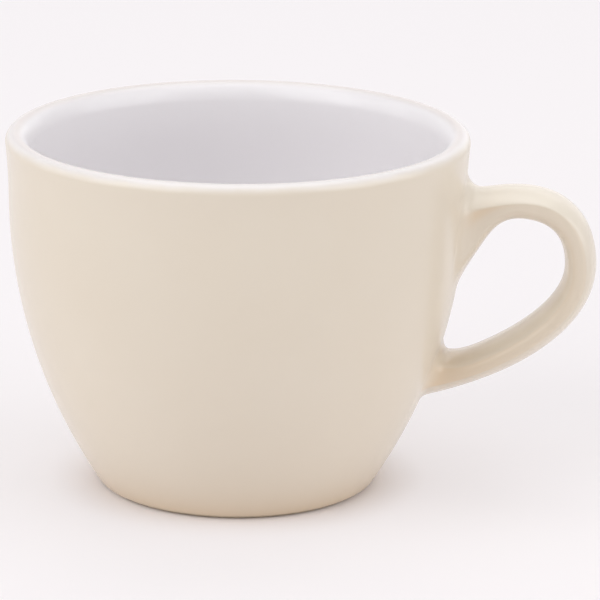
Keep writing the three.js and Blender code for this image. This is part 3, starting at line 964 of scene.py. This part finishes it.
def glaze(name):
    """Glossy glaze, cream or white by the mark on the points, cloudy, pooled and thin where marked, with the
    painted shade and painted light that those marks also carry.
    """
    material, tree, shader, place = new_finish(name)
    clouds = noise(tree, place, CLOUD_SIZE)
    pale = ranged(tree, clouds, NOISE_MIDDLE, (0, CLOUD_SHARE))
    cream = mixed(tree, pale, linear(CREAM), linear(CREAM_THIN_AND_PAINTED_LIGHT))
    # pooled glaze, and painted shade on the handle's sides and roots
    cream = mixed(tree, mark(tree, "pool_and_shade"), cream, linear(CREAM_POOL_AND_SHADE))
    # painted light on the handle's upward faces
    cream = mixed(tree, mark(tree, "thin_and_painted_light"), cream, linear(CREAM_THIN_AND_PAINTED_LIGHT))
    # thin white and painted shade on the lip's crest
    white = mixed(tree, mark(tree, "thin_and_painted_light"), linear(WHITE), linear(WHITE_THIN_AND_SHADED))
    share = mark(tree, "cream")
    wander = counted(tree, "SUBTRACT", noise(tree, place, WANDER_SIZE), 0.5)
    ragged = counted(tree, "MULTIPLY", counted(tree, "PINGPONG", share, 0.5), wander)
    share = counted(tree, "ADD", share, ragged)
    tree.links.new(mixed(tree, share, white, cream), shader.inputs["Base Color"])
    tree.links.new(ranged(tree, clouds, NOISE_MIDDLE, GLAZE_ROUGHNESS), shader.inputs["Roughness"])
    shader.inputs["IOR"].default_value = GLAZE_IOR
    waves = {"Height": noise(tree, place, WAVE_SIZE), "Distance": WAVE_HEIGHT}
    waved = node(tree, "ShaderNodeBump", waves).outputs[0]
    peel = {"Height": noise(tree, place, PEEL_SIZE), "Distance": PEEL_HEIGHT, "Normal": waved}
    tree.links.new(node(tree, "ShaderNodeBump", peel).outputs[0], shader.inputs["Normal"])
    return material


def bare(name, colour):
    """Bare fired clay: chalky, with fine grain and a few darker grains."""
    material, tree, shader, place = new_finish(name)
    grain = noise(tree, place, GRAIN_SIZE, GRAIN_DETAIL)
    patches = noise(tree, place, PATCH_SIZE)
    dark = linear(tuple(DARK_SHADE * share for share in colour))
    tone = mixed(tree, ranged(tree, patches, NOISE_MIDDLE, (0, PATCH_SHARE)), linear(colour), dark)
    tone = mixed(tree, ranged(tree, grain, DARK_GRAINS, (0, GRAIN_SHARE)), tone, dark)
    tree.links.new(tone, shader.inputs["Base Color"])
    tree.links.new(ranged(tree, grain, NOISE_MIDDLE, CLAY_ROUGHNESS), shader.inputs["Roughness"])
    rough = node(tree, "ShaderNodeBump", {"Height": grain, "Distance": GRAIN_HEIGHT})
    tree.links.new(rough.outputs[0], shader.inputs["Normal"])
    return material


# Stage, light and camera


def seen_rays(tree):
    """One for rays that see or mirror a thing, and nothing for those that carry its light."""
    ray = node(tree, "ShaderNodeLightPath").outputs
    mirrored = counted(tree, "MAXIMUM", ray["Is Glossy Ray"], ray["Is Transmission Ray"])
    return counted(tree, "MAXIMUM", ray["Is Camera Ray"], mirrored)


def pale_paper():
    """Paper that shows a share of its own pale colour whatever its light, and none of it at the foot."""
    material, tree, shader, place = new_finish("pale_paper")
    shader.inputs["Base Color"].default_value = linear(PAPER)
    shader.inputs["Roughness"].default_value = PAPER_ROUGHNESS
    shader.inputs["Specular IOR Level"].default_value = 0.0
    shown = node(tree, "ShaderNodeEmission", {"Color": linear(PAPER), "Strength": 1.0})
    away = node(tree, "ShaderNodeVectorMath", {0: place, 1: (AXIS_X, 0, 0)}, operation="DISTANCE")
    shade = (FOOT_RADIUS, FOOT_RADIUS + CONTACT_SHADE)
    own = ranged(tree, away.outputs["Value"], shade, (0, OWN_LIGHT))
    share = counted(tree, "MULTIPLY", seen_rays(tree), own)
    both = node(tree, "ShaderNodeMixShader", {0: share, 1: shader.outputs[0], 2: shown.outputs[0]})
    tree.links.new(both.outputs[0], tree.nodes["Material Output"].inputs["Surface"])
    return material


def paper_floor():
    """Pale paper that the cup stands on."""
    mesh = bpy.data.meshes.new("paper_floor")
    corners = [(x * FLOOR_HALF, y * FLOOR_HALF, 0) for x, y in ((-1, -1), (1, -1), (1, 1), (-1, 1))]
    mesh.from_pydata(corners, [], [(0, 1, 2, 3)])
    mesh.materials.append(pale_paper())
    floor = bpy.data.objects.new("paper_floor", mesh)
    bpy.context.scene.collection.objects.link(floor)


def white_room():
    """A white room that lights at its level, and is seen and mirrored as pale paper."""
    world = bpy.data.worlds.new("white_room")
    world.use_nodes = True
    tree = world.node_tree
    light = tree.nodes["Background"]
    light.inputs["Color"].default_value = (1, 1, 1, 1)
    light.inputs["Strength"].default_value = ROOM_LEVEL
    seen = node(tree, "ShaderNodeBackground", {"Color": linear(PAPER), "Strength": 1.0})
    both = node(tree, "ShaderNodeMixShader", {0: seen_rays(tree), 1: light.outputs[0], 2: seen.outputs[0]})
    tree.links.new(both.outputs[0], tree.nodes["World Output"].inputs["Surface"])
    bpy.context.scene.world = world


def soft_box(name, place, power):
    """A square soft lamp turned to the middle of the cup."""
    lamp = bpy.data.lights.new(name, "AREA")
    lamp.size = LAMP_SIZE
    lamp.energy = power
    box = bpy.data.objects.new(name, lamp)
    aim = Vector((AXIS_X, 0, CUP_HEIGHT / 2)) - Vector(place)
    box.matrix_world = Matrix.Translation(place) @ aim.to_track_quat("-Z", "Y").to_matrix().to_4x4()
    bpy.context.scene.collection.objects.link(box)


def photo_camera():
    """Camera at the photograph's place."""
    camera = bpy.data.objects.new("camera", bpy.data.cameras.new("camera"))
    camera.data.sensor_width = SENSOR
    camera.data.lens = SENSOR * FOCAL_PIXELS / IMAGE_PIXELS
    turn = math.radians(VIEW_TURN)
    place = (AXIS_X + CAMERA_DISTANCE * math.sin(turn), -CAMERA_DISTANCE * math.cos(turn), CAMERA_HEIGHT)
    heading = Matrix.Rotation(turn - math.radians(CAMERA_YAW), 4, "Z")
    tilt = Matrix.Rotation(math.radians(90 - CAMERA_PITCH), 4, "X")
    roll = Matrix.Rotation(math.radians(CAMERA_ROLL), 4, "Z")
    camera.matrix_world = Matrix.Translation(place) @ heading @ tilt @ roll
    bpy.context.scene.collection.objects.link(camera)
    bpy.context.scene.camera = camera


photo_camera()
paper_floor()
white_room()
for name, (place, power) in LAMPS.items():
    soft_box(name, place, power)
bpy.context.scene.view_settings.view_transform = "Standard"

cream_glaze, white_glaze = glaze("cream_glaze"), glaze("white_glaze")
fired_clay, joint_slip = bare("fired_clay", CLAY), bare("joint_slip", SLIP)
turning = turning_tree()

coat = cream_coat(cream_glaze)
lining = turned("white_coat", white_profile(), turning, white_glaze)
under = turned("base_coat", base_profile(), turning, cream_glaze)
clay_cup = turned("clay_cup", clay_profile(), turning, fired_clay)
for piece, stood_for, slot in (
    (coat, "outer_glaze", "cream_glaze"),
    (lining, "inner_glaze", "white_glaze"),
    (under, "base_glaze", "cream_glaze"),
    (clay_cup, "cup_body", "fired_clay"),
):
    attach(piece, "root")
    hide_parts(stood_for)

for name, finish in (
    ("handle", fired_clay),
    ("upper_joint_slip", joint_slip),
    ("lower_joint_slip", joint_slip),
):
    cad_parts[name].data.materials.clear()
    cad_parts[name].data.materials.append(finish)
